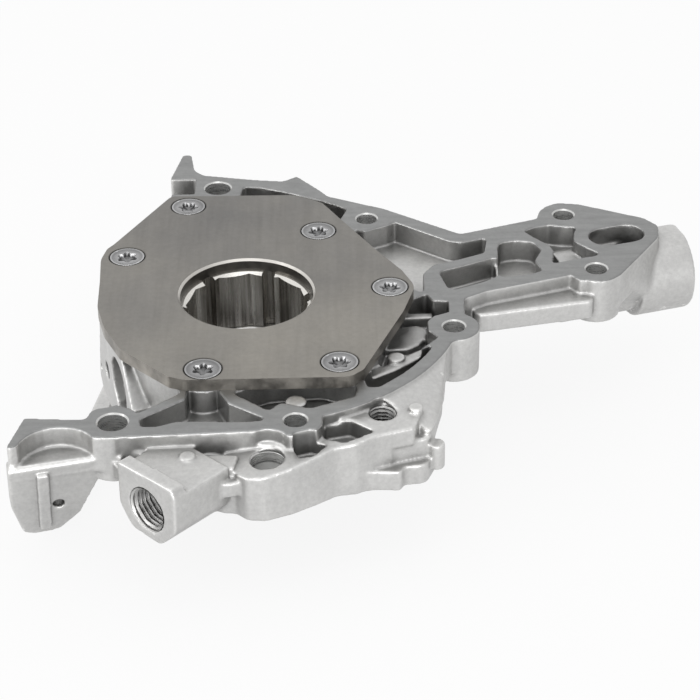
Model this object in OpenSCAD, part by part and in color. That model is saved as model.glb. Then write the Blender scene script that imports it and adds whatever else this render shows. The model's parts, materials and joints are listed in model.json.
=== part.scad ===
// Engine oil pump, driven by the crankshaft nose through an internal gear set.
// The gasket face of the housing lies at z = 0 with +Z towards the engine, and
// the origin is on the crankshaft axis. All sizes are in millimetres.

/* [Housing] */
// Depth of the round pump body below the gasket face
body_h = 24; // [22:1:28]
// Depth of the arm below the gasket face
arm_h = 12.5; // [11:0.5:15]
// Depth of the bolt columns below the gasket face
column_h = 16; // [14:1:20]
// Depth of the open pockets between the gasket walls
pocket_d = 8; // [5:0.5:9]
// Depth of the second level in front of the gasket wall
level_d = 3; // [2:0.5:5]
// Width of the curved gasket wall
wall_w = 4.8; // [4:0.2:6]
// Outer radius of the curved gasket wall about the crankshaft
wall_r = 69.2; // [68:0.2:70.4]
// Radius of the metal round each flange bolt
boss_r = 8.2; // [7.4:0.2:9]

/* [Flange fasteners] */
// Clearance hole for each flange bolt
bolt_hole_d = 7; // [6.4:0.2:8.4]
// Hole for each locating dowel
dowel_hole_d = 9; // [8:0.2:10]
// Depth of each dowel hole
dowel_hole_h = 9; // [6:1:12]

/* [Cover plate] */
// Thickness of the cover plate
plate_t = 4; // [3:0.5:6]
// Hole of the cover plate round the crankshaft
plate_hole_d = 42.6; // [41.6:0.2:44]
// Chamfer on the plate hole
plate_chamfer = 0.7; // [0.3:0.1:1.2]

/* [Cover screws] */
// Thread diameter of the cover screws
screw_d = 6; // [5:0.5:6]
// Head diameter of the cover screws
screw_head_d = 11.3; // [10.4:0.1:11.8]
// Length of the cover screws
screw_len = 14; // [12:1:16]
// Width of the six-lobe recess in the head
drive_d = 5.6; // [4.8:0.2:6.2]
// Depth of the recess
drive_h = 2.2; // [1.5:0.1:2.6]

/* [Gear set] */
// Width of both rotors
rotor_w = 15; // [12:0.5:16]
// Teeth on the inner rotor
inner_teeth = 9; // [7:1:9]
// Distance between the axes of the two rotors
gear_offset = 2.9; // [2.4:0.1:3]
// Radius of the circle that the teeth centres of the outer rotor lie on
tooth_orbit_r = 36; // [35.6:0.1:36.4]
// Radius of each tooth of the outer rotor
tooth_r = 7; // [6.6:0.1:7.4]
// Outside diameter of the outer rotor
outer_rotor_d = 77; // [76:0.5:78]
// Gap between the teeth of the two rotors
tooth_gap = 0.12; // [0.08:0.01:0.2]
// Distance between opposite drive flats of the inner rotor
drive_flat_w = 38; // [37:0.2:38.6]
// Width of the six round grooves in the drive bore
groove_d = 4.4; // [3.6:0.2:5]

/* [Crankshaft seal] */
// Outside diameter of the seal
seal_d = 50; // [48:0.5:52]
// Width of the seal
seal_w = 8; // [7:0.5:10]
// Shaft diameter that the seal runs on
shaft_d = 35; // [33:0.5:36]
// Depth of the seal boss below the gasket face
seal_boss_h = 44; // [42:1:46]

/* [Relief valve] */
// Diameter of the relief piston
piston_d = 14; // [12:0.5:14.5]
// Length of the relief piston
piston_len = 15; // [12:0.5:16]
// Travel of the relief piston
piston_travel = 5; // [3:0.5:6]
// Wire of the relief spring
spring_wire = 1.6; // [1.2:0.1:1.8]
// Coils of the relief spring
spring_coils = 6; // [5:1:7]
// Thread diameter of the relief plug
plug_d = 20; // [18:0.5:21]
// Length of the relief plug
plug_len = 10; // [8:0.5:11]
// Outside diameter of the valve housing
valve_d = 28.6; // [27:0.2:30]

/* [Ports] */
// Thread diameter of the pressure switch port
switch_port_d = 14; // [12:0.5:16]
// Bore for the suction pipe
suction_d = 18.8; // [17:0.2:20]
// Thread diameter of the suction pipe bolts
suction_bolt_d = 6; // [5:0.5:6.5]
// Thread diameter of the bracket bolt hole
bracket_bolt_d = 8; // [6:0.5:8.5]
// Diameter of the plug that closes the drilled gallery
ball_d = 10.2; // [9:0.2:11]
// Diameter of the oil galleries
gallery_d = 7; // [6:0.5:8]

/* [Hidden] */
$fn = 96;
eps = 0.02;

// Running clearances
rotor_side_gap = 0.05;
rotor_rim_gap = 0.08;
piston_gap = 0.03;
shaft_gap = 0.7;
thread_gap = 0.05;
seat_gap = 0.04;

// Places on the gasket face, from the crankshaft axis
bolt_points = [[39, 55.2], [106.2, 56.5], [114, 19.9], [65.7, -15.1], [16.5, -67]];
front_screw = [-11.8, -44.7];
dowel_points = [[-12.7, 78.1], [-37.6, -67.1]];
screw_points = [[-21.7, 57.7], [-40, 23.8], [22.7, 39.9], [45.9, 2.8], front_screw, [29.7, -41.5]];

screw_boss_r = screw_d / 2 + 3.6;

// Gear chamber
offset_angle = 105;
chamber_centre = gear_offset * [cos(offset_angle), sin(offset_angle)];
outer_teeth = inner_teeth + 1;
outer_root_r = tooth_orbit_r + 2 * gear_offset - tooth_r + tooth_gap;
chamber_r = outer_rotor_d / 2 + rotor_rim_gap;
chamber_h = rotor_w + 2 * rotor_side_gap;
body_r = chamber_r + 6;
port_floor = 3;
port_depth = body_h - chamber_h - port_floor;
port_inner_r = 26;
port_outer_r = 34;
outlet_inner_r = 33;
outlet_r = chamber_r + 3;
outlet_land = 1.5;
outlet_rise = 0.9;
outlet_from = -89;
outlet_to = 24;
gallery_angle = -85;
gallery_start_r = chamber_r + 2.3;
profile_steps = 36;
profile_ease = 0.9;
groove_angle = 11;
bore_chamfer = 0.8;
hub_r = 23.5;
hub_h = 5.3;
hub_gap = 0.1;

// Suction side
suction_angle = 18.5;
suction_point = [-40, -25, -15];
suction_seat_h = 4;
suction_bolt_at = [17, -4.2];
suction_hidden_bolt_at = [-8, -12.5];
suction_dimple_at = [26, -8.5];
suction_block_h = 32;
suction_duct_d = 9;
suction_duct_z = -22;
suction_duct_len = 17;
side_floor_d = 14;

// Pressure side
switch_angle = 46.8;
switch_point = [-26.6, -92.1, -14];
switch_thread_h = 14;
switch_drill_h = 48;
gallery_z = -15.5;
ball_point = [8.3, -78];
bracket_point = [42.5, -59];
ball_top = -10.5;
ball_t = 1.5;

// Pads for the ejector pins: place, radius and height of each
pad_points = [[16.5, -55.2, 3.3, -1], [47.1, -30.1, 2.8, -1.6], [52.4, -58.6, 2.2, -1.2]];

// Ear beside the sump face, with its round cut and its leaning web
ear_cut_r = 12;
ear_cut_point = [-52.9, -81.4];
ear_floor_d = 7;
ear_h = 12;
ear_front = [-53, -77.2, -11];
ear_front_angle = 14;
ear_lean = 14;
ear_web_t = 5;
ear_hole_d = 3.4;
ear_hole_at = [-0.8, -14];

// Sump side: the pan rail runs along this plane in front of the pump body
sump_plane = 53.2;
sump_turn = 9.75;
rail_low = -50;
rail_high = -43;
rail_w = 6;
rail_back = -30;
rail_front = 54;
rib_w = 5;

// Lower body in front of the gasket wall
lower_low = -22;
ball_seat_d = 6;
notch_d = 15;
trough_d = 9;
ridge_d = 5.5;
slope_angle = 5.7;
skirt_d = 6;

// Relief valve, measured along its axis from the outer end
valve_angle = 17.5;
valve_end = [145.7, 50.4, -17];
valve_len = 46;
valve_seat_at = 40;
plug_recess = 0.6;
piston_at = valve_seat_at - piston_len;
spring_at = plug_recess + plug_len;
piston_cup_h = piston_len - 4;
piston_wall = 1.6;
vent_at = 19.6;
vent_d = 9.6;
relief_port_at = 36.2;
relief_port_d = 5;
slot_point = [122.9, 42.3];
slot_r = 5.9;
slot_run = 7.4;
slot_h = 7;
ledge_d = 5.5;
collar_len = 19;
neck_d = 24.4;
housing_top = -3.2;
flank_at = 13;
flank_len = 16;
gallery_wall = 3.5;
valve_gallery_from = [37.5, 14.5];
valve_seat_overlap = 1;
discharge_point = [63.5, 27.2];
discharge_d = 7;
discharge_wall = 4.2;
plug_socket_w = 8;
plug_socket_h = 6;
plug_groove_at = 6;
plug_groove_w = 2.4;
plug_groove_h = 1.6;
ring_wire = 1.5;

// Cover screws
screw_sink = 3.2;
screw_sink_d = 12.2;
screw_head_h = 2.9;
drive_lobe = 0.35;

// Seal
seal_wall = 4.5;
seal_floor = 0.5;
seal_case_t = 2;
seal_lip_r = shaft_d / 2;
seal_case_r = seal_r(0.467);
garter_r = seal_r(0.28);
garter_z = 4.1;
garter_wire = 1;

function unit(v) = v / norm(v);
function flat(p) = [p.x, p.y];
function turn(a) = a > 180 ? a - 360 : a < -180 ? a + 360 : a;
function along(angle) = [cos(angle), sin(angle)];
function seal_r(share) = shaft_d / 2 + share * (seal_d - shaft_d) / 2;
function valve_point(depth) = flat(valve_end) - depth * along(valve_angle);

// One corner [x, y, r] of an outline between its neighbours, as an arc of radius r
function corner(a, b, c, steps = 5) =
    let (
        p = flat(b),
        u = unit(flat(a) - p),
        v = unit(flat(c) - p),
        half = acos(max(-1, min(1, u * v))) / 2,
        reach = min(norm(flat(a) - p), norm(flat(c) - p)) * 0.49,
        t = min(b.z / tan(half), reach),
        r = t * tan(half),
        centre = p + unit(u + v) * r / sin(half),
        s = p + u * t - centre,
        e = p + v * t - centre,
        a0 = atan2(s.y, s.x),
        sweep = turn(atan2(e.y, e.x) - a0)
    )
    b.z == 0 || half > 89 ? [p] : [for (i = [0:steps]) centre + r * along(a0 + sweep * i / steps)];

// A closed outline from corners [x, y, r]
function rounded(list) =
    let (n = len(list))
    [for (i = [0:n - 1]) each corner(list[(i + n - 1) % n], list[i], list[(i + 1) % n])];

// Outline corners along an arc about a centre
function arc(r, a0, a1, steps = 12, centre = [0, 0]) =
    [for (i = [0:steps]) let (q = centre + r * along(a0 + (a1 - a0) * i / steps)) [q.x, q.y, 0]];

// A rounded slab between two heights
module slab(corners, low, high) {
    translate([0, 0, low])
        linear_extrude(high - low)
            polygon(rounded(corners));
}

module post(point, r, low, high) {
    translate([point.x, point.y, low])
        cylinder(r = r, h = high - low);
}

// Children drawn on an upright face: x runs along it, y runs up and z runs inwards
module on_face(point, angle) {
    translate(point)
        rotate([90, 0, 90 + angle])
            children();
}

// A straight bore between two points at one height
module gallery(from, to, z, d) {
    run = to - from;
    translate([from.x, from.y, z])
        rotate([0, 90, atan2(run.y, run.x)])
            cylinder(d = d, h = norm(run));
}

module on_valve() {
    on_face(valve_end, valve_angle + 180)
        children();
}

// Outline of the gasket face
module flange_outline() {
    polygon(rounded(concat(
        [[-26.4, 103.4, 0.9], [-23.2, 103.4, 0.9], [-21.6, 92, 5], [-18.5, 88, 4], [0, 84.2, 8], [10, 82.9, 3]],
        [[14.8, 86.5, 0.5], [23, 75.9, 2], [25.8, 71.5, 2], [45, 62.2, 12], [70.4, 44, 3]],
        [[96.8, 54, 1], [98.2, 59.8, 6], [104, 65.2, 5], [112, 64, 8], [133.4, 53.7, 6], [137.8, 48.2, 4]],
        [[136.8, 40.6, 8], [127.4, 25.2, 12], [120.6, 14.2, 5], [108, 12.4, 1], [105.3, 16.2, 1], [77, 6.4, 3]],
        [[69.8, 2, 3], [69.6, -8, 2], [73.6, -14, 4], [70, -21, 4]],
        arc(wall_r, -20.5, -69, 16),
        [[20, -74, 3], [9, -72.3, 1], [-40, -75.2, 4]],
        arc(ear_cut_r, 32, 168, 10, ear_cut_point),
        [[-68, -81, 0.8], [-64.2, -64.4, 1.2], [-45.8, -65.6, 2]],
        [[-44.5, -60, 4], [-38, -58.6, 3], [-33.5, -50, 3], [-37, -34, 2], [-44, -14, 6], [-46.6, 0, 8]],
        [[-46.8, 24, 8], [-42, 34, 6], [-29.2, 60, 4], [-28.8, 73, 1], [-29.8, 85.4, 1]]
    )));
}

// Open pockets between the gasket walls
module pockets() {
    // Behind the cover plate
    polygon(rounded([[-4.6, 73, 1], [-3.8, 79, 1.5], [2, 78.6, 2], [13, 74, 3], [24, 68.2, 3], [32.4, 62.4, 1.5],
        [29, 52.5, 2], [18, 50, 3], [0, 52, 6], [-6, 60, 6]]));
    // Inside corner of the arm
    polygon(rounded([[33.5, 47.8, 1], [38, 46.4, 1.5], [46, 50.6, 2], [48.6, 52.8, 0.8], [66, 39.6, 6], [70, 38.2, 4],
        [79.2, 41.4, 1.2], [77.6, 31, 2], [68.4, 26.6, 2], [60.6, 23.6, 4], [57, 18, 4], [56.8, 5, 1],
        [50, 12, 6], [40, 30, 8]]));
    // Next to the chamber
    polygon(rounded([[57.6, 5.2, 1], [59.4, 0.8, 1], [64.6, 0.6, 1], [64.5, -6.4, 1], [59.6, -8.6, 1],
        [57.2, -12, 3], [57.4, -18, 3], [59, -20.6, 1], [47.6, -29, 2], [40.4, -36, 2], [45, -14, 6], [51, 0, 6]]));
    // Inside the curved wall
    polygon(rounded(concat(
        [[38.2, -49.4, 1], [36.6, -42.6, 1], [47, -35.6, 3], [58.4, -25.4, 1]],
        arc(wall_r - wall_w, -26.5, -50, 8)
    )));
    // Long trough of the arm
    polygon(rounded([[62.2, 19.4, 2.5], [70, 22.6, 3], [81.2, 28.4, 1], [81.2, 15.8, 1.5], [77, 12.6, 3], [65.4, 6.6, 2.5]]));
    // Waisted pocket of the arm
    polygon(rounded([[82.4, 34, 2], [83.4, 38, 3], [88.4, 39.2, 4], [94.4, 38.4, 4], [97, 33, 3], [94.2, 26, 3],
        [96.2, 19, 1.5], [92, 17, 2], [82, 14.8, 2]]));
    // Five-armed pocket of the arm
    polygon(rounded([[92, 45.6, 0.8], [96, 48.4, 2], [100.7, 49.8, 1], [105, 48.6, 3], [110, 48, 1.2],
        [108.6, 43.6, 2], [108.2, 38.4, 2], [111.8, 34.4, 4], [116, 30.2, 0.8], [114.6, 28.4, 0.8], [109.2, 27, 2],
        [99.8, 23.6, 0.8], [101, 32, 2], [99.8, 36, 3], [95.4, 40.8, 3]]));
    // Right of the rib in front of the chamber
    polygon(rounded([[-2.6, -52, 1], [8.4, -61.6, 1], [12, -57.4, 2], [20.8, -60.6, 2], [34, -54.6, 1.5],
        [35, -49, 1.5], [24, -44, 6], [8, -46, 6]]));
    // Between the two ribs that run down from the front screw boss
    polygon(rounded(concat(
        [[-16.8, -55.2, 0.8], [-29.6, -65.4, 1.2], [-29.2, -69.6, 1], [-24, -69.3, 2], [-18.8, -67, 3], [-6.7, -67.2, 3]],
        [[0.1, -67.6, 1], [6.6, -66.9, 0.8], [6.9, -65.3, 0.8], [-3.8, -57.6, 1.5]],
        arc(screw_boss_r, -48, -132, 10, front_screw)
    )));
}

// Pocket beside the suction block, deeper than the others
module side_pocket() {
    polygon(rounded([[-38, -57.4, 1], [-33.2, -59.6, 1.2], [-30.4, -62.2, 0.8], [-18.6, -51.8, 1], [-19.4, -48, 2],
        [-30, -38, 6], [-35, -30, 2], [-44, -30, 1], [-44, -54, 1]]));
}

// Bolt columns, screw bosses and the round body
module columns() {
    for (p = bolt_points)
        post(p, boss_r, -column_h, 0);
    for (p = dowel_points)
        post(p, boss_r, -column_h, 0);
    for (p = screw_points)
        post(p, screw_boss_r, -body_h + 4, 0);
    translate([chamber_centre.x, chamber_centre.y, -body_h])
        cylinder(r = body_r, h = body_h);
}

// Low places in the walls between pockets
module low_walls() {
    slab([[40.6, -41.6, 1], [37, -37.4, 1], [47, -28, 1], [57.4, -17, 1], [60.4, -21.4, 1], [50.6, -33.6, 1]], -level_d, 1);
    slab([[80.6, 16.4, 0], [82.8, 16.4, 0], [82.8, 27.6, 0], [80.6, 27.6, 0]], -level_d, 1);
}

// Ribs and raised floors inside the pockets next to the chamber
module pocket_ribs() {
    slab([[48, 4.8, 0.5], [59.4, 4.8, 0.5], [59.4, 8, 0.5], [48, 8, 0.5]], -pocket_d - 1, -level_d);
    slab([[48, -3.4, 0.5], [59.6, -3.4, 0.5], [59.6, -0.4, 0.5], [48, -0.4, 0.5]], -pocket_d - 1, -level_d - 1);
    slab([[46, -8, 1], [54, -5, 2], [57.6, -7, 1], [57.6, -12, 3], [55, -17, 3], [51, -20, 3], [42, -20, 1]],
        -pocket_d - 1, -pocket_d + 2.4);
}

// Second level in front of the gasket wall, with its scalloped outer wall
module lower_body() {
    intersection() {
        slab([[-2.8, -80.4, 0.8], [-0.6, -84.6, 2], [2.4, -87.3, 3], [7.6, -87.9, 4], [15.4, -84.6, 6], [23, -79.8, 6],
            [28.6, -75.8, 5], [34.6, -74.8, 4], [40, -71.6, 3], [45.6, -69.4, 1.5], [46, -60, 1], [40, -40, 4],
            [0, -36, 4], [-8, -60, 4]], lower_low, -level_d);
        translate([10, 0, -ball_seat_d])
            rotate([0, -slope_angle, 0])
                translate([-100, -120, -60])
                    cube([200, 120, 60]);
    }
    slab([[30, -70, 2], [41, -71, 2], [46, -69.4, 1.5], [51.9, -67.4, 1.5], [53.6, -60.6, 3], [54, -50, 3],
        [44, -40, 3], [30, -50, 3]], -trough_d, -level_d);
    slab([[34, -70, 1], [45.8, -69, 1], [56.4, -65.4, 2], [58.4, -58, 4], [57.6, -44, 5], [52, -30, 3], [30, -40, 3]],
        -notch_d - 1, -trough_d + 1);
    slab([[34, -74.2, 3], [40, -72.8, 2], [47.4, -73.2, 1], [49, -70.4, 1], [55.4, -69.6, 4], [58.4, -62, 4],
        [58, -50, 5], [54, -36, 3], [30, -40, 3]], lower_low, -notch_d);
    slab([[-19.2, -89.6, 0.6], [-11, -88, 1], [-2.4, -86.6, 2], [6, -84, 2], [6, -66, 2], [-38, -66, 2],
        [-39.4, -73, 1], [-34, -80, 1]], -trough_d - 5, -trough_d);
    slab([[-39, -71.6, 0.6], [-32.4, -74.4, 2], [-26.4, -76.8, 2], [-20, -79.8, 2], [-13, -79.8, 1], [-7, -81.6, 1],
        [-1.4, -84, 0.6], [0, -76.6, 1], [-22, -76.6, 1], [-26, -73.4, 0.6], [-26, -70, 0], [-39, -70, 0]],
        -trough_d - 1, -ridge_d);
    post([58.6, -64.4], 2.5, -notch_d - 4, -trough_d - 1.5);
    post([-15, -79.4], 2.4, -trough_d - 1, -level_d - 0.6);
    slab([[-10, -81, 1], [-5, -83.6, 1], [1, -84.4, 1], [6, -80, 1], [6, -66, 2], [-12, -66, 2]], lower_low, -trough_d - 4);
}

// Small pockets of the second level
module lower_pockets() {
    slab([[25.4, -64.6, 1], [32.6, -62.6, 2], [40.2, -68.8, 1], [31, -73.2, 2], [24.6, -69.8, 1.5]], -pocket_d - 1, 0);
    slab([[15.6, -73.6, 1], [20.8, -71.6, 2], [26, -73.6, 1], [21.4, -79, 1.5], [17.6, -78.6, 1]], -pocket_d - 1, 0);
}

// Sloping skirt between the curved wall and the lower body
module skirt() {
    hull() {
        translate([0, 0, -1.6])
            linear_extrude(0.6)
                polygon(rounded(concat(arc(wall_r - 0.4, -24, -52, 8), [[36, -44, 1], [52, -22, 1]])));
        translate([0, 0, -skirt_d - 0.6])
            linear_extrude(0.6)
                polygon(rounded([[50, -52, 2], [56.4, -66.4, 1], [58.8, -59, 4], [61.4, -48, 5], [62.4, -36, 4],
                    [62, -24, 3], [44, -24, 3]]));
    }
    slab([[50, -60, 2], [56, -65.4, 1], [58.4, -59, 4], [60.8, -48, 5], [61.6, -36, 4], [61, -24, 3], [44, -24, 3]],
        -trough_d - 3, -skirt_d);
}

// Outline of the face of the pressure switch port
switch_face = [[11.9, 11.6, 0.8], [12, -3, 5], [7, -9.6, 5], [-5, -10.4, 4], [-12, -3, 4], [-12.2, 9.6, 1.5],
    [-10.8, 12.2, 1]];

// Boss of the pressure switch port
module switch_boss() {
    on_face(switch_point, switch_angle) {
        linear_extrude(5)
            polygon(rounded(switch_face));
        linear_extrude(22)
            intersection() {
                polygon(rounded(switch_face));
                translate([-20, -20])
                    square([40, switch_port_d / 2 + 2.4 + 20]);
            }
        cylinder(d = gallery_d + 6, h = switch_drill_h);
    }
}

// Block that takes the flange of the suction pipe
module suction_block() {
    on_face(suction_point, suction_angle)
        intersection() {
            linear_extrude(16)
                polygon(rounded([[-4.3, 15, 0.6], [-17, 1, 1.5], [-17, -10, 4], [-12, -18, 4], [25, -17, 3],
                    [29, -12, 2], [23, 13, 1], [20, 15, 1]]));
            translate([-40, -30, 0])
                cube([90, 30 - suction_point.z, 40]);
        }
    slab([[-34, -38, 6], [-44, -4, 6], [-40, 12, 6], [-20, 12, 6], [-18, -26, 6]], -suction_block_h + 3, -body_h + 1);
}

// Metal below the side pocket, up into the flange round it
module side_floor() {
    slab([[-34, -62, 2], [-34.5, -52, 2], [-34, -44, 2], [-36, -30, 2], [-20, -30, 2], [-13, -50, 3], [-26, -65, 2]],
        -side_floor_d - 4, 1 - arm_h);
}

// Ear at the sump corner: floor, front lip and the web that leans back to the pan rail
module ear() {
    slab([[-68, -80.9, 0.8], [-64.2, -64.4, 1.2], [-45.8, -65.6, 2], [-34, -66, 1], [-34, -76, 1], [-40.6, -74.2, 2]],
        -ear_h, -ear_floor_d);
    translate(ear_front)
        rotate([90, 0, ear_front_angle])
            rotate([ear_lean, 0, 0]) {
                translate([0, 0, -ear_web_t])
                    linear_extrude(ear_web_t)
                        polygon(rounded([[-15.2, 3, 0.6], [-15, -13, 6], [-12, -24.8, 2], [-8.6, -26.4, 3], [-1, -25.8, 5],
                            [5.4, -19.6, 5], [10.4, -8, 4], [14, 0, 2], [17, 3, 0.6]]));
                translate([-7, -23, -1])
                    cube([3.6, 24, 2.6]);
            }
}

// Children drawn on the sump plane: x runs to the front and y runs into the pump
module on_rail() {
    rotate([0, 0, -90 - sump_turn])
        translate([0, -sump_plane, 0])
            children();
}

// Rail for the oil pan on the hidden side, tied to the ear and the seal boss
module pan_rail() {
    on_rail() {
        translate([0, rail_w, 0])
            rotate([90, 0, 0])
                linear_extrude(rail_w)
                    polygon([[rail_back, rail_low], [rail_front, rail_low], [rail_front + 18, rail_low + 12],
                        [rail_front + 20, -ear_h - 8], [rail_front + 10, -ear_h - 8], [rail_front + 4, rail_high],
                        [rail_back, rail_high]]);
        for (x = [rail_back + 4, rail_back + 38])
            translate([x, 2, rail_high - rib_w])
                cube([rib_w, sump_plane - seal_d / 2, rib_w + 2]);
    }
}

// Arm beyond the chamber: ledge, valve housing and the cast tube of its gallery
module arm() {
    slab([[76, 12, 1], [72.6, 6, 1], [73.4, 0.2, 2], [80, 1.4, 6], [107.4, 7.6, 3], [112, 8.4, 2], [114, 20, 2],
        [100, 24, 2], [76, 16, 1]], -arm_h, -ledge_d);
    gallery(valve_gallery_from, valve_point(valve_seat_at), valve_end.z, gallery_d + 2 * gallery_wall);
    post(discharge_point, discharge_d / 2 + discharge_wall, valve_end.z - gallery_d / 2 - discharge_wall, 1 - arm_h);
    intersection() {
        on_valve() {
            cylinder(d = valve_d, h = collar_len);
            cylinder(d = neck_d, h = valve_len);
        }
        translate([60, 0, -60])
            cube([120, 100, 60 + housing_top]);
    }
}

// Flank of the arm from its flat face down to the valve housing
module arm_flank() {
    hull() {
        translate([0, 0, -1])
            linear_extrude(1)
                polygon(rounded([[112, 15, 2], [119, 13.8, 3], [127.4, 25.2, 12], [136.8, 40.6, 8], [137.8, 48.2, 4],
                    [124, 54, 2]]));
        on_valve()
            translate([0, 0, flank_at])
                cylinder(d = neck_d - 1, h = flank_len, $fn = 32);
    }
}

// Metal of the housing before the bores
module casting() {
    difference() {
        union() {
            translate([0, 0, -arm_h])
                linear_extrude(arm_h)
                    flange_outline();
            columns();
            lower_body();
            skirt();
            switch_boss();
            ear();
            side_floor();
            arm_flank();
        }
        translate([0, 0, -pocket_d])
            linear_extrude(pocket_d + 1)
                pockets();
        low_walls();
        lower_pockets();
        translate([0, 0, -side_floor_d])
            linear_extrude(side_floor_d + 1)
                side_pocket();
        slab([[-32, 74, 0], [-20.6, 74, 0.5], [-20.6, 85, 0.5], [-32, 85, 0]], -pocket_d, 1);
    }
    suction_block();
    pan_rail();
    arm();
    pocket_ribs();
    translate([0, 0, -seal_boss_h])
        cylinder(d = seal_d + 2 * seal_wall, h = seal_boss_h - body_h + 1);
    for (p = pad_points)
        post(p, p[2], -pocket_d - 1, p[3]);
}

// Kidney port below the chamber floor between two angles
module kidney(a0, a1) {
    middle_r = (port_inner_r + port_outer_r) / 2;
    translate([0, 0, -chamber_h - port_depth]) {
        rotate([0, 0, a0])
            rotate_extrude(angle = a1 - a0)
                translate([port_inner_r, 0])
                    square([port_outer_r - port_inner_r, port_depth + eps]);
        for (a = [a0, a1])
            translate([middle_r * cos(a), middle_r * sin(a), 0])
                cylinder(d = port_outer_r - port_inner_r, h = port_depth + eps);
    }
}

// Chamber, ports, shaft bore and seal seat
module pump_bores() {
    translate([chamber_centre.x, chamber_centre.y, -chamber_h])
        cylinder(r = chamber_r, h = chamber_h + 1);
    translate([0, 0, -chamber_h - hub_h - hub_gap])
        cylinder(r = hub_r + hub_gap, h = chamber_h + hub_h);
    kidney(132, 258);
    kidney(-48, 78);
    translate([chamber_centre.x, chamber_centre.y, -chamber_h - port_depth + outlet_rise])
        rotate([0, 0, outlet_from])
            rotate_extrude(angle = outlet_to - outlet_from)
                translate([outlet_inner_r, 0])
                    square([outlet_r - outlet_inner_r, port_depth - outlet_rise - outlet_land]);
    translate([0, 0, -seal_boss_h - 1])
        cylinder(d = shaft_d + 2 * shaft_gap, h = seal_boss_h);
    translate([0, 0, -seal_boss_h - 1])
        cylinder(d = seal_d, h = seal_w + seal_floor + 1);
}

// Galleries, ports and bolt holes
module drillings() {
    for (p = bolt_points)
        post(p, bolt_hole_d / 2, -body_h - 20, 1);
    for (p = dowel_points)
        post(p, dowel_hole_d / 2, -dowel_hole_h, 1);
    for (p = screw_points)
        post(p, screw_d / 2 + thread_gap, plate_t - screw_len - 2, 1);
    gallery(ball_point, chamber_centre + along(gallery_angle) * gallery_start_r, gallery_z, gallery_d);
    post(ball_point, ball_d / 2 + seat_gap, gallery_z - 1, 1);
    post(ball_point, ball_d / 2 + 1.5, -level_d - 2, 1);
    post(bracket_point, bracket_bolt_d / 2, -16, 1);
    on_face(switch_point, switch_angle) {
        translate([0, 0, -1])
            cylinder(d = switch_port_d, h = switch_thread_h + 1);
        cylinder(d = gallery_d, h = switch_drill_h);
    }
    on_face(suction_point, suction_angle) {
        translate([0, 0, -3])
            cylinder(d = suction_d, h = suction_seat_h + 3);
        translate([suction_bolt_at.x, suction_bolt_at.y, -3])
            cylinder(d = suction_bolt_d, h = 15);
        translate([suction_hidden_bolt_at.x, suction_hidden_bolt_at.y, -3])
            cylinder(d = suction_bolt_d, h = 15);
        translate([suction_dimple_at.x, suction_dimple_at.y, -3])
            cylinder(d = 3, h = 5);
        translate([0, suction_duct_z - suction_point.z, 0])
            cylinder(d = suction_duct_d, h = suction_duct_len);
    }
    translate(ear_front)
        rotate([90, 0, ear_front_angle])
            rotate([ear_lean, 0, 0])
                translate([ear_hole_at.x, ear_hole_at.y, -8])
                    cylinder(d = ear_hole_d, h = 12);
}

// Valve bore with its threaded mouth, the gallery that feeds it, the outlet from that
// gallery to the arm's inner pocket, the relief port that the piston uncovers, and the
// vent of the spring chamber
module valve_bores() {
    on_valve() {
        translate([0, 0, -1])
            cylinder(d = plug_d + 2 * thread_gap, h = plug_recess + plug_len + 1);
        cylinder(d = piston_d + 2 * piston_gap, h = valve_seat_at);
        translate([0, 0, relief_port_at])
            rotate([90, 0, 0])
                cylinder(d = relief_port_d, h = valve_d);
    }
    gallery(valve_gallery_from, valve_point(valve_seat_at - valve_seat_overlap), valve_end.z, gallery_d);
    post(discharge_point, discharge_d / 2, valve_end.z - 2, eps - pocket_d);
    translate([slot_point.x, slot_point.y, -slot_h])
        rotate([0, 0, valve_angle])
            linear_extrude(slot_h + 1)
                hull() {
                    translate([-slot_run / 2, 0])
                        circle(r = slot_r);
                    translate([slot_run / 2, 0])
                        circle(r = slot_r);
                }
    post(valve_point(vent_at), vent_d / 2, valve_end.z, 0);
}

module pump_housing() {
    color("silver")
        difference() {
            casting();
            pump_bores();
            drillings();
            valve_bores();
        }
}

module cover_plate() {
    color("gray")
        difference() {
            slab([[-28, 65, 3], [14, 65, 8], [20, 62, 5], [24, 59, 3], [30, 48, 3], [41, 28, 8], [50, 13, 6],
                [54, 3, 9], [50, -12, 14], [37, -46, 4], [33, -50, 5], [-17, -51, 6], [-22, -49, 3], [-38, -33, 6],
                [-44, -20, 14], [-47, -8, 14], [-47.6, 8, 14], [-48.5, 22, 14], [-47, 29, 6], [-45, 32, 3]], 0, plate_t);
            post([0, 0], plate_hole_d / 2, -1, plate_t + 1);
            translate([0, 0, plate_t - plate_chamfer])
                cylinder(d1 = plate_hole_d, d2 = plate_hole_d + 2 * plate_chamfer + eps, h = plate_chamfer + eps);
            for (p = screw_points) {
                post(p, screw_d / 2 + 0.3, -1, plate_t + 1);
                translate([p.x, p.y, plate_t - screw_sink])
                    cylinder(d1 = screw_sink_d - 2 * screw_sink, d2 = screw_sink_d + 2 * eps, h = screw_sink + eps);
            }
        }
}

module cover_screw() {
    difference() {
        union() {
            translate([0, 0, plate_t - screw_len])
                cylinder(d = screw_d, h = screw_len - 1);
            translate([0, 0, plate_t - screw_head_h])
                cylinder(d1 = screw_d, d2 = screw_head_d, h = screw_head_h);
        }
        translate([0, 0, plate_t - drive_h])
            linear_extrude(drive_h + 1)
                polygon([for (i = [0:59]) (drive_d / 2 - drive_lobe * (1 - cos(36 * i))) * along(6 * i)]);
    }
}

module cover_screws() {
    color("lightgray")
        for (p = screw_points)
            translate([p.x, p.y, 0])
                cover_screw();
}

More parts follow.
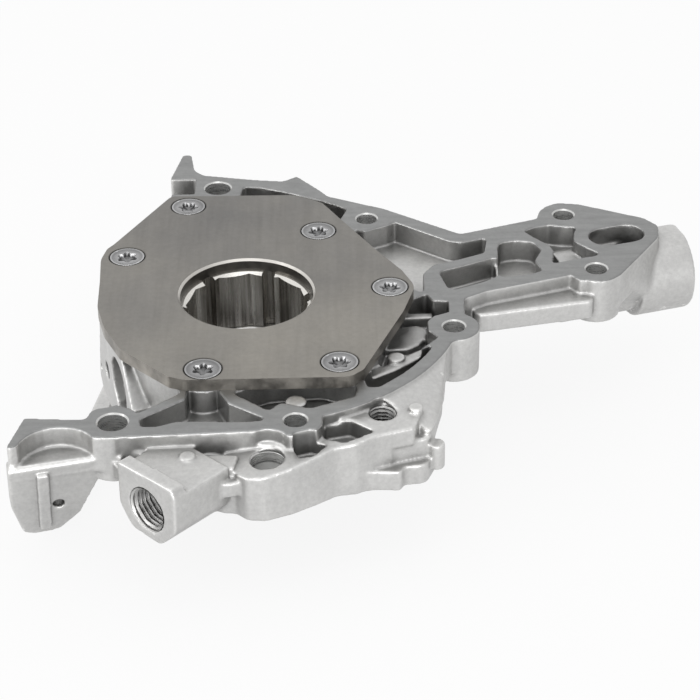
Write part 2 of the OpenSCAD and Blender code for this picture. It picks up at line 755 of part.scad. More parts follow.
// Profile of the inner rotor, the path that the teeth of the outer rotor sweep
function inner_point(a) =
    let (
        n = outer_teeth,
        dx = -tooth_orbit_r * sin(a) - gear_offset * n * sin(n * a),
        dy = tooth_orbit_r * cos(a) + gear_offset * n * cos(n * a)
    )
    tooth_orbit_r * along(a) + gear_offset * along(n * a) - (tooth_r + tooth_gap) * unit([dy, -dx]);

// Steps round one tooth, closer together in the valleys where the profile turns quickly
function profile_angle(t) = (t + profile_ease * sin(t) * 180 / PI) / inner_teeth;

module inner_rotor() {
    color("dimgray")
        translate([0, 0, -rotor_side_gap - rotor_w])
            difference() {
                union() {
                    rotate([0, 0, offset_angle])
                        linear_extrude(rotor_w)
                            polygon([for (i = [0:profile_steps * inner_teeth - 1])
                                inner_point(profile_angle(360 * i / profile_steps))]);
                    translate([0, 0, -hub_h])
                        cylinder(r = hub_r, h = hub_h + 1);
                }
                translate([0, 0, -hub_h - 1])
                    cylinder(r = drive_flat_w / 2 / cos(15), h = rotor_w + hub_h + 2, $fn = 12);
                for (i = [0:5])
                    rotate([0, 0, groove_angle + 60 * i])
                        translate([drive_flat_w / 2 + 0.7, 0, -hub_h - 1])
                            cylinder(d = groove_d, h = rotor_w + hub_h + 2);
                translate([0, 0, rotor_w - bore_chamfer])
                    cylinder(r1 = drive_flat_w / 2, r2 = drive_flat_w / 2 + bore_chamfer + 0.6, h = bore_chamfer + eps);
            }
}

module outer_rotor() {
    color("dimgray")
        translate([chamber_centre.x, chamber_centre.y, -rotor_side_gap - rotor_w])
            difference() {
                cylinder(d = outer_rotor_d, h = rotor_w);
                translate([0, 0, -1])
                    linear_extrude(rotor_w + 2)
                        difference() {
                            circle(r = outer_root_r);
                            for (i = [0:outer_teeth - 1])
                                translate(tooth_orbit_r * along(offset_angle + 360 * i / outer_teeth))
                                    circle(r = tooth_r);
                        }
            }
}

module seal_case() {
    color("gray")
        translate([0, 0, -seal_boss_h + seal_floor])
            rotate_extrude()
                polygon([[seal_d / 2 - seat_gap, 0], [seal_d / 2 - seat_gap, seal_w - 0.2], [seal_case_r, seal_w - 0.2],
                    [seal_case_r, seal_w - 1.6], [seal_d / 2 - seal_case_t, seal_w - 1.6],
                    [seal_d / 2 - seal_case_t, 0]]);
}

module seal_lip() {
    color("saddlebrown")
        translate([0, 0, -seal_boss_h + seal_floor])
            rotate_extrude()
                difference() {
                    polygon([[seal_d / 2 - seal_case_t - seat_gap, 0.3], [seal_d / 2 - seal_case_t - seat_gap, seal_w - 1.7],
                        [seal_r(0.413), seal_w - 1.7], [seal_r(0.16), 5.8], [seal_lip_r, 4.4], [seal_r(0.107), 3],
                        [seal_case_r, 2.4], [seal_r(0.387), 4.9], [seal_r(0.547), 4.9], [seal_r(0.52), 1.2],
                        [seal_r(0.08), 0.9], [seal_r(0.027), 0.3]]);
                    translate([garter_r, garter_z])
                        circle(d = garter_wire + 2 * seat_gap, $fn = 24);
                }
}

module seal_spring() {
    color("lightgray")
        translate([0, 0, -seal_boss_h + seal_floor + garter_z])
            rotate_extrude()
                translate([garter_r, 0])
                    circle(d = garter_wire, $fn = 24);
}

module relief_piston() {
    color("silver")
        on_valve()
            translate([0, 0, piston_at])
                difference() {
                    cylinder(d = piston_d, h = piston_len);
                    translate([0, 0, -1])
                        cylinder(d = piston_d - 2 * piston_wall, h = piston_cup_h + 1);
                }
}

module relief_spring() {
    steps = 16;
    sides = 8;
    turns = spring_coils;
    r = piston_d / 2 - piston_wall - spring_wire / 2 - 0.4;
    rise = (piston_at + piston_cup_h - spring_at - spring_wire - 2 * 0.1) / turns;
    rings = turns * steps;
    points = [
        for (i = [0:rings])
            for (k = [0:sides - 1])
                let (
                    a = 360 * i / steps,
                    b = 360 * k / sides,
                    d = r + spring_wire / 2 * cos(b)
                )
                [d * cos(a), d * sin(a), rise * i / steps + spring_wire / 2 * sin(b)]
    ];
    walls = [
        for (i = [0:rings - 1])
            for (k = [0:sides - 1])
                let (j = (k + 1) % sides)
                [i * sides + k, i * sides + j, (i + 1) * sides + j, (i + 1) * sides + k]
    ];
    ends = [
        [for (k = [0:sides - 1]) sides - 1 - k],
        [for (k = [0:sides - 1]) rings * sides + k]
    ];
    color("lightgray")
        on_valve()
            translate([0, 0, spring_at + spring_wire / 2 + 0.1])
                polyhedron(points = points, faces = concat(walls, ends));
}

module relief_plug() {
    color("gray")
        on_valve()
            translate([0, 0, plug_recess])
                difference() {
                    cylinder(d = plug_d, h = plug_len);
                    translate([0, 0, -1])
                        cylinder(d = plug_socket_w / cos(30), h = plug_socket_h + 1, $fn = 6);
                    translate([0, 0, plug_groove_at])
                        difference() {
                            cylinder(d = plug_d + 1, h = plug_groove_w);
                            cylinder(d = plug_d - 2 * plug_groove_h, h = plug_groove_w);
                        }
                }
}

module relief_plug_ring() {
    color("black")
        on_valve()
            translate([0, 0, plug_recess + plug_groove_at + plug_groove_w / 2])
                rotate_extrude()
                    translate([plug_d / 2 - plug_groove_h + ring_wire / 2 + seat_gap, 0])
                        circle(d = ring_wire, $fn = 24);
}

// Plug of the drilled gallery, a flat disc pressed into the counterbored hole
module gallery_ball() {
    color("darkgray")
        post(ball_point, ball_d / 2, ball_top - ball_t, ball_top);
}

pump_housing();
cover_plate();
cover_screws();
inner_rotor();
outer_rotor();
seal_case();
seal_lip();
seal_spring();
relief_piston();
relief_spring();
relief_plug();
relief_plug_ring();
gallery_ball();
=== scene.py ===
"""Looks of the engine oil pump: cast and machined finishes, softened casting edges, camera and light."""

import json
from math import cos, hypot, pi, radians, sin

import bpy
from mathutils import Matrix, Vector

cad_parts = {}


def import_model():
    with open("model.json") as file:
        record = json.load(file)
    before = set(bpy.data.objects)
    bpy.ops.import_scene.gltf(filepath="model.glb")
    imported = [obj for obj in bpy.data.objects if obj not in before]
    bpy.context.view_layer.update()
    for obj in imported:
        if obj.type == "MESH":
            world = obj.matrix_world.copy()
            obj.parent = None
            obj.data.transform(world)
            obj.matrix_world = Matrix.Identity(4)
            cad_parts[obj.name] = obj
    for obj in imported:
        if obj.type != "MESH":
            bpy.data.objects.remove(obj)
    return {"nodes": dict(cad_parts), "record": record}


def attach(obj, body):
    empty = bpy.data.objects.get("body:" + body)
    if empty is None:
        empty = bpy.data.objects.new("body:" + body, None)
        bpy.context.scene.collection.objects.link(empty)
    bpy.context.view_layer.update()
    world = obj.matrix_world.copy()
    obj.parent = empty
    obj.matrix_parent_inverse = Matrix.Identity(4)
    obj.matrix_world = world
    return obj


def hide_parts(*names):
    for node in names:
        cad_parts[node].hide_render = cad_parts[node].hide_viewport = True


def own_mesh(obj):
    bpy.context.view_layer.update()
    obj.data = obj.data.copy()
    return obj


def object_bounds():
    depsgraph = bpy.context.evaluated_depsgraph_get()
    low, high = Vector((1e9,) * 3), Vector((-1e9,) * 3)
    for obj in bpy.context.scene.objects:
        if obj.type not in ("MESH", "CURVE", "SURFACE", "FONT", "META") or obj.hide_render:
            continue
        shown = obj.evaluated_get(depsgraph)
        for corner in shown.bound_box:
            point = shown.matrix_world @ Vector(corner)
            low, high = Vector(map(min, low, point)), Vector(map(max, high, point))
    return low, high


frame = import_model()
cad_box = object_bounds()

MM = 0.001

# Camera of the photograph in the frame's own axes
CAMERA_AT = (0.03287622, -0.62640421, 0.37800002)
CAMERA_RIGHT = (0.99994446, -0.00563312, -0.00890739)
CAMERA_DOWN = (-0.01053915, -0.53446498, -0.84512491)
CAMERA_FORWARD = (0.0, 0.84517185, -0.53449466)
LENS_MM = 117.3245
SENSOR_MM = 36.0

# Softening of the casting: voxel size, smoothing passes and their strength
VOXEL = 0.42 * MM
SMOOTH_STEPS = 10
SMOOTH_SHARE = 0.5

# Gasket face in mm: how near a point lies before smoothing, and how far it may sink and still be trued
LEVEL_BAND = 0.02
LEVEL_DROP = 0.08

# Machined holes in mm: how near a point lies to a bore before it is trued, and the chamfer at the mouth
BORE_REACH = 0.45
CHAMFER = 0.45

# Machined bores of the casting in mm: place, radius, lowest and highest level
DISC_AT = (8.3, -78)
BORES = [
    (39, 55.2, 3.5, -16, 0),
    (106.2, 56.5, 3.5, -16, 0),
    (114, 19.9, 3.5, -16, 0),
    (65.7, -15.1, 3.5, -16, 0),
    (16.5, -67, 3.5, -22, 0),
    (-12.7, 78.1, 4.5, -9, 0),
    (-37.6, -67.1, 4.5, -9, 0),
    (*DISC_AT, 5.14, -16, -7),
]

# Cover plate in mm: its top, the radii over which the painted shade on its hole wall ends, and the places of
# its screws
PLATE_TOP = 4.0
HOLE_SHADE = (21.6, 22.2)
SCREWS = [(-21.7, 57.7), (-40, 23.8), (22.7, 39.9), (45.9, 2.8), (-11.8, -44.7), (29.7, -41.5)]
# Distances from a screw's centre in mm over which the painted shadow in the gap round its head ends
SCREW_SHADE = (5.95, 6.35)

# Switch port: mouth, angle, radius, depth and pitch
SWITCH_PORT = ((-26.6, -92.1, -14), 46.8, 7.0, 14.0, 1.5)
# Suction face: a point on it, and its angle
SUCTION_FACE = ((-40, -25, -15), 18.5)
# Hole for a bracket: mouth, radius, depth and pitch
BRACKET_HOLE = ((42.5, -59, -3.2), 4.0, 12.0, 1.25)

# How bright the studio is on the object's right, away from the key light, as the metal reflects it
SHADED_SIDE = 0.8

# How much of the floor and of the world is plain white to the camera, and in the metal
FLOOR_SEEN = (0.93, 0.85)
WORLD_SEEN = (1.0, 1.0)

# Lamps: name, place, aim, width and height in metres, and power in watts
LAMPS = [
    ("front", (0.0, -1.0, 0.18), (0.03, 0.0, -0.02), 1.2, 0.45, 5.0),
    ("left", (-0.85, -0.35, 0.45), (0.03, 0.0, 0.0), 0.6, 0.6, 2.5),
    ("top", (0.05, -0.25, 1.0), (0.03, 0.0, 0.0), 0.5, 0.5, 1.0),
]


class Shader:
    """A small helper that adds nodes to one material and links them."""

    def __init__(self, name, base, roughness, metallic):
        self.material = bpy.data.materials.new(name)
        self.material.use_nodes = True
        self.tree = self.material.node_tree
        self.main = self.tree.nodes["Principled BSDF"]
        self.main.inputs["Base Color"].default_value = (*base, 1.0)
        self.main.inputs["Roughness"].default_value = roughness
        self.main.inputs["Metallic"].default_value = metallic
        self.place = self.node("ShaderNodeTexCoord").outputs["Object"]

    def node(self, kind, **values):
        made = self.tree.nodes.new(kind)
        for name, value in values.items():
            setattr(made, name, value)
        return made

    def link(self, source, target):
        self.tree.links.new(source, target)

    def noise(self, scale, detail=4.0, rough=0.55, stretch=None, turn=0.0):
        place = self.place
        if stretch:
            mapping = self.node("ShaderNodeMapping")
            mapping.inputs["Scale"].default_value = stretch
            mapping.inputs["Rotation"].default_value = (0, 0, turn)
            self.link(place, mapping.inputs["Vector"])
            place = mapping.outputs["Vector"]
        made = self.node("ShaderNodeTexNoise")
        made.inputs["Scale"].default_value = scale
        made.inputs["Detail"].default_value = detail
        made.inputs["Roughness"].default_value = rough
        self.link(place, made.inputs["Vector"])
        return made.outputs["Fac"]

    def spread(self, source, low, high, to_low=0.0, to_high=1.0):
        made = self.node("ShaderNodeMapRange")
        for name, value in (("From Min", low), ("From Max", high), ("To Min", to_low), ("To Max", to_high)):
            made.inputs[name].default_value = value
        self.link(source, made.inputs["Value"])
        return made.outputs["Result"]

    def ramp(self, source, stops):
        made = self.node("ShaderNodeValToRGB")
        points = made.color_ramp.elements
        while len(points) < len(stops):
            points.new(0.5)
        for point, (at, colour) in zip(points, stops):
            point.position = at
            point.color = (*colour, 1.0)
        self.link(source, made.inputs["Fac"])
        return made.outputs["Color"]

    def mix(self, share, first, second):
        made = self.node("ShaderNodeMix", data_type="RGBA")
        self.link(share, made.inputs["Factor"])
        for index, value in ((6, first), (7, second)):
            if isinstance(value, tuple):
                made.inputs[index].default_value = (*value, 1.0)
            else:
                self.link(value, made.inputs[index])
        return made.outputs[2]

    def math(self, operation, first, second=None):
        made = self.node("ShaderNodeMath", operation=operation)
        for index, value in enumerate((first, second)):
            if value is None:
                continue
            if isinstance(value, (int, float)):
                made.inputs[index].default_value = value
            else:
                self.link(value, made.inputs[index])
        return made.outputs["Value"]

    def bump(self, source, depth, strength=1.0, before=None):
        made = self.node("ShaderNodeBump")
        made.inputs["Strength"].default_value = strength
        made.inputs["Distance"].default_value = depth
        self.link(source, made.inputs["Height"])
        if before is not None:
            self.link(before, made.inputs["Normal"])
        return made.outputs["Normal"]

    def finish(self, colour=None, roughness=None, normal=None):
        for name, value in (("Base Color", colour), ("Roughness", roughness), ("Normal", normal)):
            if value is not None:
                self.link(value, self.main.inputs[name])
        return self.material


def facing(s, normal, low, high):
    """1 where the surface faces along a direction, and 0 elsewhere."""
    geometry = s.node("ShaderNodeNewGeometry")
    made = s.node("ShaderNodeVectorMath", operation="DOT_PRODUCT")
    s.link(geometry.outputs["Normal"], made.inputs[0])
    made.inputs[1].default_value = normal
    return s.spread(made.outputs["Value"], low, high)


def machined_share(s):
    """1 on the milled gasket face out to its rims, and 0 elsewhere."""
    height = s.node("ShaderNodeSeparateXYZ")
    s.link(s.place, height.inputs["Vector"])
    return s.spread(height.outputs["Z"], -0.46 * MM, -0.3 * MM)


def port_share(s):
    """1 on the milled faces of the switch port and the suction port, and 0 elsewhere."""
    total = None
    for (x, y, z), angle in (SWITCH_PORT[:2], SUCTION_FACE):
        out = (-cos(radians(angle)), -sin(radians(angle)), 0)
        away = s.node("ShaderNodeVectorMath", operation="DOT_PRODUCT")
        s.link(s.place, away.inputs[0])
        away.inputs[1].default_value = out
        face = (x * out[0] + y * out[1]) * MM
        near = s.spread(away.outputs["Value"], face - 0.5 * MM, face - 0.2 * MM)
        one = s.math("MULTIPLY", near, facing(s, out, 0.95, 0.99))
        total = one if total is None else s.math("MAXIMUM", total, one)
    return total


def recess(s, reach, low):
    """Painted shade: 1 in the open, falling to a low share in pockets and corners."""
    near = s.node("ShaderNodeAmbientOcclusion", samples=8)
    near.inputs["Distance"].default_value = reach
    return s.spread(near.outputs["AO"], 0.15, 0.95, low, 1.0)


def edges(s, low, high):
    """Painted highlights along edges and painted shade in creases, from the mesh's own curvature."""
    geometry = s.node("ShaderNodeNewGeometry")
    return s.spread(geometry.outputs["Pointiness"], 0.42, 0.58, low, high)


def times(s, colour, *shares):
    """The colour multiplied by each share in turn."""
    for share in shares:
        made = s.node("ShaderNodeVectorMath", operation="MULTIPLY")
        s.link(colour, made.inputs[0])
        s.link(share, made.inputs[1])
        colour = made.outputs["Vector"]
    return colour


def cast_aluminium():
    """The casting's grey skin, with painted highlights on its edges and painted shade in creases and pockets,
    and the milled faces set off in a darker tone that is partly their finish and partly painted shade.
    """
    s = Shader("cast_aluminium", (0.6, 0.6, 0.6), 0.45, 1.0)
    share = machined_share(s)
    port = port_share(s)
    cloud = s.noise(40, 5, 0.6)
    tones = [(0.25, (0.57, 0.568, 0.561)), (0.5, (0.64, 0.637, 0.627)), (0.8, (0.71, 0.706, 0.693))]
    cast = s.ramp(cloud, tones)
    speck = s.spread(s.noise(700, 3, 0.7), 0.3, 0.7, 0.91, 1.07)
    rough_skin = s.math("SUBTRACT", 1.0, s.math("MAXIMUM", share, port))
    # Painted highlights on edges, and painted shade in creases and pockets
    cast = times(s, cast, speck, edges(s, 0.62, 1.26), recess(s, 12 * MM, 0.4))
    streak = s.noise(70, 6, 0.6, (1.0, 5.0, 1.0), 0.5)
    # The milled face's dark tones are partly its finish and partly painted shade for a face that looks up
    tones = [(0.3, (0.27, 0.272, 0.27)), (0.6, (0.31, 0.312, 0.31)), (0.85, (0.36, 0.36, 0.358))]
    milled = s.ramp(streak, tones)
    milled = times(s, milled, s.spread(speck, 0.91, 1.07, 0.95, 1.04))
    colour = s.mix(share, cast, milled)
    skin = s.spread(s.noise(180, 4), 0.3, 0.7, 0.34, 0.5)
    grain = s.noise(1300, 3, 0.65)
    pits = s.noise(330, 5, 0.65)
    normal = s.bump(s.math("MULTIPLY", pits, rough_skin), 0.1 * MM, 0.5)
    normal = s.bump(s.math("MULTIPLY", grain, rough_skin), 0.035 * MM, 0.5, normal)
    return s.finish(colour, skin, normal)


def bored_aluminium():
    """Drilled walls with fine turned lines along their depth and painted shade deeper in, and a bright chamfer
    at the mouth.
    """
    s = Shader("bored_aluminium", (0.5, 0.5, 0.5), 0.3, 0.85)
    lines = s.noise(1500, 3, 0.6, (0.15, 0.15, 2.0))
    wall = s.mix(s.spread(lines, 0.3, 0.7), (0.58, 0.58, 0.575), (0.97, 0.97, 0.96))
    # Painted shade deeper in the hole
    wall = times(s, wall, recess(s, 9 * MM, 0.88))
    colour = s.mix(facing(s, (0, 0, 1), 0.3, 0.6), wall, (0.62, 0.62, 0.61))
    return s.finish(colour, s.spread(lines, 0.3, 0.7, 0.22, 0.38), s.bump(lines, 0.02 * MM, 0.5))


def painted_screw_gap_shadow(s):
    """Low in a painted shadow in the gap round each screw head, and 1 elsewhere."""
    nearest = None
    for x, y in SCREWS:
        from_screw = s.node("ShaderNodeVectorMath", operation="SUBTRACT")
        s.link(s.place, from_screw.inputs[0])
        from_screw.inputs[1].default_value = (x * MM, y * MM, PLATE_TOP * MM)
        away = s.node("ShaderNodeVectorMath", operation="LENGTH")
        s.link(from_screw.outputs["Vector"], away.inputs[0])
        one = away.outputs["Value"]
        nearest = one if nearest is None else s.math("MINIMUM", nearest, one)
    return s.spread(nearest, SCREW_SHADE[0] * MM, SCREW_SHADE[1] * MM, 0.3, 1.0)


def plate_steel():
    """A ground plate that drifts from cool to warm across its top, with darker sides, painted shade on its hole
    wall, in its corners and round its screws, and painted highlights on its edges.
    """
    s = Shader("plate_steel", (0.4, 0.38, 0.35), 0.4, 1.0)
    lines = s.noise(420, 4, 0.6, (1.0, 0.05, 1.0), 0.35)
    cloud = s.noise(22, 5, 0.55)
    slope = s.node("ShaderNodeVectorMath", operation="DOT_PRODUCT")
    s.link(s.place, slope.inputs[0])
    slope.inputs[1].default_value = (0.2, -0.98, 0)
    even = s.spread(slope.outputs["Value"], -50 * MM, 50 * MM, 0, 0.7)
    drift = s.math("ADD", even, s.spread(cloud, 0.3, 0.7, -0.2, 0.5))
    top = s.mix(drift, (0.15, 0.146, 0.14), (0.236, 0.224, 0.202))
    side = s.mix(s.spread(s.noise(160, 4), 0.3, 0.7), (0.155, 0.148, 0.137), (0.31, 0.292, 0.265))
    colour = s.mix(facing(s, (0, 0, 1), 0.4, 0.8), side, top)
    speck = s.spread(s.noise(520, 3, 0.7), 0.3, 0.7, 0.95, 1.05)
    across = s.node("ShaderNodeVectorMath", operation="MULTIPLY")
    s.link(s.place, across.inputs[0])
    across.inputs[1].default_value = (1, 1, 0)
    radius = s.node("ShaderNodeVectorMath", operation="LENGTH")
    s.link(across.outputs["Vector"], radius.inputs[0])
    # Painted shade on the hole wall, inside the radii of HOLE_SHADE
    bore = s.spread(radius.outputs["Value"], HOLE_SHADE[0] * MM, HOLE_SHADE[1] * MM, 0.42, 1.0)
    # Painted highlights on edges, painted shade in creases and corners, and painted shadows round the screws
    colour = times(s, colour, speck, edges(s, 0.95, 1.35), recess(s, 5 * MM, 0.5), bore, painted_screw_gap_shadow(s))
    rough = s.spread(lines, 0.3, 0.7, 0.34, 0.50)
    return s.finish(colour, rough, s.bump(lines, 0.012 * MM, 0.4))


def metal(name, dark, light, rough, scale=300, depth=0.01, metallic=1.0, low=0.3, edge_light=1.0):
    """A plain finish between two tones, with painted shade in recesses down to low, and painted highlights on
    edges and painted shade in creases as strong as edge_light.
    """
    s = Shader(name, light, sum(rough) / 2, metallic)
    grain = s.noise(scale, 4, 0.6)
    cloud = s.noise(scale / 8, 4, 0.55)
    tone = s.mix(s.spread(cloud, 0.3, 0.7), dark, light)
    colour = times(s, tone, recess(s, 4 * MM, low), edges(s, 2 - edge_light, edge_light))
    return s.finish(colour, s.spread(grain, 0.3, 0.7, *rough), s.bump(grain, depth * MM, 0.5))


def rotor_steel():
    """Broached flats with streaks down the bore, and a bright chamfer at its mouth."""
    s = Shader("rotor_steel", (0.5, 0.48, 0.45), 0.25, 0.9)
    streak = s.noise(420, 4, 0.65, (1.0, 1.0, 0.05))
    wide = s.noise(90, 3, 0.5, (1.0, 1.0, 0.05))
    bright = s.spread(s.math("MULTIPLY", streak, wide), 0.14, 0.36)
    flats = s.mix(bright, (0.22, 0.205, 0.18), (0.95, 0.93, 0.88))
    colour = s.mix(facing(s, (0, 0, 1), 0.25, 0.5), flats, (0.78, 0.76, 0.72))
    return s.finish(colour, s.spread(streak, 0.3, 0.7, 0.16, 0.32), s.bump(streak, 0.02 * MM, 0.5))


MATERIALS = {
    "cast_aluminium": cast_aluminium(),
    "plate_steel": plate_steel(),
    # The screws get strong painted highlights on their rims and painted shade in creases
    "zinc_steel": metal(
        "zinc_steel", (0.24, 0.24, 0.242), (0.35, 0.35, 0.353), (0.2, 0.32), low=0.75, edge_light=1.95
    ),
    "rotor_steel": rotor_steel(),
    "bored_aluminium": bored_aluminium(),
    "ground_edge": metal("ground_edge", (0.52, 0.50, 0.47), (0.70, 0.68, 0.64), (0.25, 0.4), 500, 0.01),
    "seal_steel": metal("seal_steel", (0.34, 0.34, 0.33), (0.46, 0.46, 0.45), (0.3, 0.45)),
    "seal_rubber": metal(
        "seal_rubber", (0.035, 0.018, 0.014), (0.07, 0.035, 0.027), (0.5, 0.7), 500, 0.02, 0.0
    ),
    "spring_steel": metal("spring_steel", (0.3, 0.3, 0.3), (0.45, 0.45, 0.45), (0.25, 0.4)),
    "piston_steel": metal("piston_steel", (0.42, 0.42, 0.42), (0.55, 0.55, 0.55), (0.18, 0.3)),
    "plug_steel": metal("plug_steel", (0.34, 0.34, 0.335), (0.48, 0.48, 0.47), (0.38, 0.55), 260, 0.03),
}


def paint(piece, slot):
    piece.data.materials.clear()
    piece.data.materials.append(MATERIALS[slot])


def shade(piece, degrees=32.0):
    """Smooth shading with sharp edges kept, without touching a CAD vertex."""
    bpy.context.view_layer.objects.active = piece
    for other in bpy.context.selected_objects:
        other.select_set(False)
    piece.select_set(True)
    bpy.ops.object.shade_smooth_by_angle(angle=radians(degrees))
    piece.select_set(False)


SLOTS = {part["node"]: part["material_slot"] for part in frame["record"]["subparts"]}
for node, piece in frame["nodes"].items():
    paint(piece, SLOTS[node])


def true_bore(at):
    """Moves a point near a machined bore onto its cylinder, or onto the chamfer at its mouth."""
    for x, y, r, low, high in BORES:
        dx, dy = at.x / MM - x, at.y / MM - y
        away = hypot(dx, dy)
        true = r + max(0.0, min(CHAMFER, at.z / MM - high + CHAMFER))
        if abs(away - true) < BORE_REACH and low < at.z / MM <= high + 0.01:
            at.x, at.y = (x + dx * true / away) * MM, (y + dy * true / away) * MM
            return


def copied(node, name):
    """A copy of a CAD node as a piece of its own."""
    source = frame["nodes"][node]
    piece = source.copy()
    piece.data = source.data.copy()
    piece.name = name
    for key in list(piece.keys()):
        if key.startswith("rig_"):
            del piece[key]
    piece.parent = None
    bpy.context.scene.collection.objects.link(piece)
    return piece


def soft_casting():
    """A remeshed copy of the casting whose cast edges are rounded and whose gasket face stays flat."""
    piece = copied("pump_housing", "housing_casting")
    bpy.context.view_layer.objects.active = piece
    remesh = piece.modifiers.new("remesh", "REMESH")
    remesh.mode = "VOXEL"
    remesh.voxel_size = VOXEL
    bpy.ops.object.modifier_apply(modifier=remesh.name)
    level = [v.index for v in piece.data.vertices if abs(v.co.z) < LEVEL_BAND * MM]
    smooth = piece.modifiers.new("smooth", "SMOOTH")
    smooth.factor = SMOOTH_SHARE
    smooth.iterations = SMOOTH_STEPS
    bpy.ops.object.modifier_apply(modifier=smooth.name)
    # The gasket face and the bores were machined after casting, so they are true again, and no point
    # lies below the solid's own box
    for index in level:
        if piece.data.vertices[index].co.z > -LEVEL_DROP * MM:
            piece.data.vertices[index].co.z = 0.0
    for v in piece.data.vertices:
        true_bore(v.co)
        v.co.z = max(v.co.z, cad_box[0].z)
    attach(piece, "housing")
    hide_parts("pump_housing")
    paint(piece, "cast_aluminium")
    return piece


casting = soft_casting()
shade(casting, 42.0)
for node, piece in frame["nodes"].items():
    if node != "pump_housing":
        shade(piece)


def seen_share(tree, camera, in_metal):
    """One share for camera rays, another for glossy and transmission rays, and 0 for the light on things."""
    path = tree.nodes.new("ShaderNodeLightPath")

    def pair(operation, first, second):
        made = tree.nodes.new("ShaderNodeMath")
        made.operation = operation
        for index, value in enumerate((first, second)):
            if isinstance(value, float):
                made.inputs[index].default_value = value
            else:
                tree.links.new(value, made.inputs[index])
        return made.outputs["Value"]

    bounced = pair("MAXIMUM", path.outputs["Is Glossy Ray"], path.outputs["Is Transmission Ray"])
    direct = pair("MULTIPLY", path.outputs["Is Camera Ray"], camera)
    return pair("MAXIMUM", direct, pair("MULTIPLY", bounced, in_metal))


def shells(name, parts, slot, body, capped=False, instead_of=None):
    """A piece from parts, each a list of rings of points, with every ring closed round on itself."""
    points, faces = [], []
    for rings in parts:
        first, count, rows = len(points), len(rings[0]), len(rings) - 1
        points += [tuple(MM * c for c in q) for ring in rings for q in ring]
        for k in range(rows):
            for i in range(count):
                j = (i + 1) % count
                low, high = first + k * count, first + (k + 1) * count
                faces.append((low + i, low + j, high + j, high + i))
        if capped:
            faces.append(tuple(first + count - 1 - i for i in range(count)))
            faces.append(tuple(first + rows * count + i for i in range(count)))
    mesh = bpy.data.meshes.new(name)
    mesh.from_pydata(points, [], faces)
    piece = bpy.data.objects.new(name, mesh)
    bpy.context.scene.collection.objects.link(piece)
    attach(piece, body)
    if instead_of:
        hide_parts(instead_of)
    paint(piece, slot)
    shade(piece, 40)
    return piece


def circle(x, y, z, r, around=96):
    return [(x + r * cos(2 * pi * i / around), y + r * sin(2 * pi * i / around), z) for i in range(around)]


def thread(name, centre, inward, side, upward, r, depth, pitch):
    """Threads of a hole as one helical ridge, from its mouth inwards."""
    around, per_pitch, height = 96, 8, 0.61 * pitch
    rings = []
    for k in range(int(depth / pitch * per_pitch) + 1):
        t = k * pitch / per_pitch
        flare = max(0.0, 1.0 - t / (0.8 * pitch))
        ring = []
        for i in range(around):
            phase = (t / pitch - i / around) % 1.0
            ridge = max(0.0, 1.0 - abs(phase - 0.5) * 2.6)
            away = r + 0.05 - height * ridge * (1.0 - flare)
            a = 2 * pi * i / around
            ring.append(tuple(c + n * t + away * (u * cos(a) + v * sin(a))
                              for c, n, u, v in zip(centre, inward, side, upward)))
        rings.append(ring)
    return shells(name, [rings], "cast_aluminium", "housing")


def threads():
    centre, angle, r, depth, pitch = SWITCH_PORT
    inward = (cos(radians(angle)), sin(radians(angle)), 0)
    thread("switch_thread", centre, inward, (-inward[1], inward[0], 0), (0, 0, 1), r, depth, pitch)
    centre, r, depth, pitch = BRACKET_HOLE
    thread("bracket_thread", centre, (0, 0, -1), (0, 1, 0), (1, 0, 0), r, depth, pitch)


def linings():
    """The drilled walls of the open holes, each with its small chamfer."""
    parts = []
    for x, y, r, low, high in BORES:
        start = high - CHAMFER
        chamfer = [(r + CHAMFER, high + 0.004), (r - 0.04, start + 0.02)]
        depth = [(r - 0.04, start - (start - low) * k / 8) for k in range(1, 9)]
        parts.append([circle(x, y, z, away, 72) for away, z in chamfer + depth])
    lined = shells("drilled_walls", parts, "cast_aluminium", "housing")
    paint(lined, "bored_aluminium")


def hole_edge():
    """The bright chamfer round the plate's hole."""
    profile = [(21.27, 3.2), (21.28, 3.31), (21.97, 3.995), (22.03, 3.998)]
    edge = shells("hole_chamfer", [[circle(0, 0, z, r, 144) for r, z in profile]], "plate_steel", "housing")
    paint(edge, "ground_edge")


def cover_screws():
    """Turned screws with a raised rim and a six-lobe recess, in place of the CAD screws."""
    around = 96
    turned = [(2.5, -10), (3.0, -9.4), (3.0, 1.15), (5.5, 3.62), (5.64, 3.82), (5.6, 3.93), (5.42, 3.99)]
    turned += [(5.22, 3.99), (5.05, 3.93), (4.9, 3.84)]
    lobed = [(0.62, 3.84), (0.42, 3.78), (0.1, 3.2), (-0.15, 2.6), (-0.6, 2.45), (-1.2, 2.3)]
    parts = []
    for number, (x, y) in enumerate(SCREWS):
        rings = [circle(x, y, z, r, around) for r, z in turned]
        for grow, z in lobed:
            ring = []
            for i in range(around):
                a = 2 * pi * i / around
                away = 2.62 + grow + 0.44 * cos(6 * a + 2.4 * number)
                ring.append((x + away * cos(a), y + away * sin(a), z))
            rings.append(ring)
        parts.append(rings)
    shells("turned_screws", parts, "zinc_steel", "housing", True, "cover_screws")


def gallery_plug():
    """The pressed plug of the drilled gallery with its rolled edge and shallow dish."""
    profile = [(5.1, -12), (5.1, -10.75), (4.95, -10.55), (4.6, -10.5)]
    profile += [(4.2, -10.62), (3.4, -10.9), (1.6, -11.1), (0.2, -11.12)]
    rings = [circle(*DISC_AT, z, r, 64) for r, z in profile]
    shells("pressed_plug", [rings], "plug_steel", "housing", True, "gallery_ball")


def coil_spring():
    """The relief spring, copied as a piece of its own with a mesh of its own."""
    piece = copied("relief_spring", "coiled_spring")
    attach(piece, "housing")
    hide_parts("relief_spring")
    paint(piece, "spring_steel")
    shade(piece)
    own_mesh(piece)


